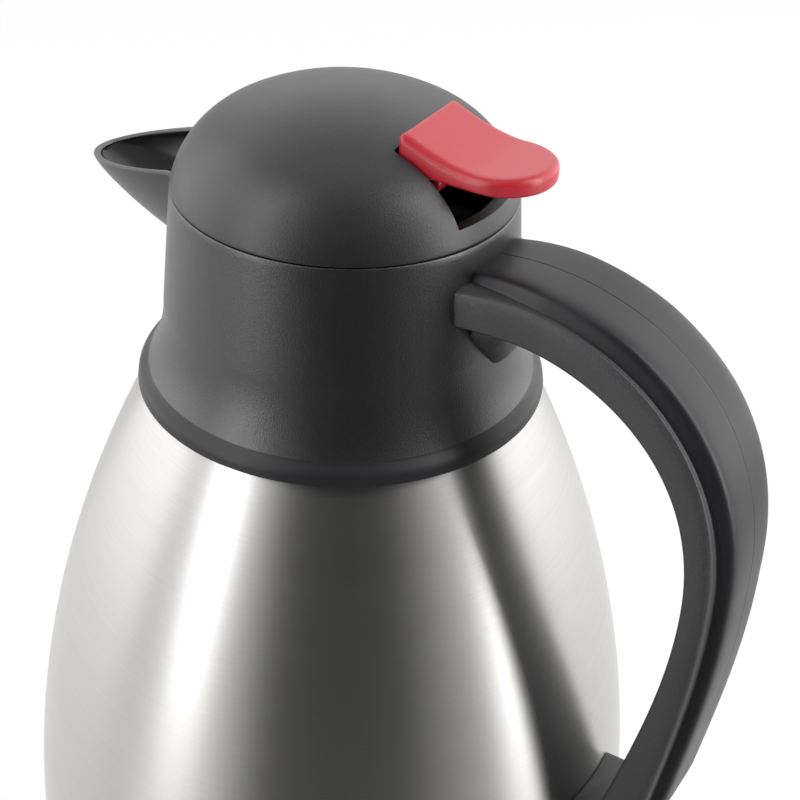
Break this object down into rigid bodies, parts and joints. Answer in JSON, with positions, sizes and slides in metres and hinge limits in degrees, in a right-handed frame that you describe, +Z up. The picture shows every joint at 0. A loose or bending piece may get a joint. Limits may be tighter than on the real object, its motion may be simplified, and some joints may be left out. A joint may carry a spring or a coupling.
{
  "type": "thermal carafe",
  "caption": "Brushed steel vacuum carafe with a black collar and spout, a looped handle, a domed twist-off stopper and a red thumb lever that opens its pouring valve",
  "frame": {"origin": "centre of the ring on which the carafe stands, at the level of the table", "axes": "+X runs out through the middle of the handle, -X through the spout, +Y is to the left of the handle seen from above with the handle pointing right, +Z is up along the axis of the flask"},
  "size_m": [0.1702, 0.1452, 0.273],
  "materials": {
    "brushed_steel": "fine horizontal brushing",
    "inner_steel": "plain drawn steel",
    "screw_steel": "bright turned steel",
    "black_plastic": "fine spark-eroded texture",
    "red_plastic": "satin",
    "white_plastic": "satin",
    "black_rubber": "moulded",
    "pale_rubber": "silicone"
  },
  "bodies": {
    "vessel": {"outer_shell": "brushed_steel", "inner_flask": "inner_steel", "base_plate": "inner_steel", "base_pad": "black_rubber", "getter": "inner_steel", "collar": "black_plastic", "neck_gasket": "pale_rubber", "handle": "black_plastic", "collar_screw": "screw_steel", "weld_bracket": "inner_steel", "lower_screw": "screw_steel", "screw_cover": "black_plastic"},
    "gasket": {"stopper_gasket": "pale_rubber"},
    "stopper": {"dome": "black_plastic", "lid_base": "black_plastic", "stopper_plug": "black_plastic", "stem_seal": "pale_rubber", "lever_pin": "screw_steel", "valve_spring": "screw_steel"},
    "lever": {"lever": "red_plastic"},
    "valve": {"valve_stem": "white_plastic", "valve_seal": "pale_rubber"}
  },
  "joints": [
    {"name": "lid_lift", "type": "slide", "parent": "vessel", "child": "gasket", "axis": [0, 0, 1], "range_m": [0, 0.08]},
    {"name": "lid_turn", "type": "hinge", "parent": "gasket", "child": "stopper", "pos_m": [0, 0, 0.25], "axis": [0, 0, 1], "range_deg": [0, 90]},
    {"name": "lever_press", "type": "hinge", "parent": "stopper", "child": "lever", "pos_m": [0.0215, 0, 0.26], "axis": [0, 1, 0], "range_deg": [0, 12], "stiffness_Nm_per_rad": 0.2, "springref_deg": -8.59},
    {"name": "valve_lift", "type": "slide", "parent": "stopper", "child": "valve", "axis": [0, 0, 1], "range_m": [0, 0.0046], "deforming": ["valve_spring"]}
  ],
  "couplings": [
    {"joint": "valve_lift", "follows": "lever_press", "m_per_rad": 0.0215}
  ]
}
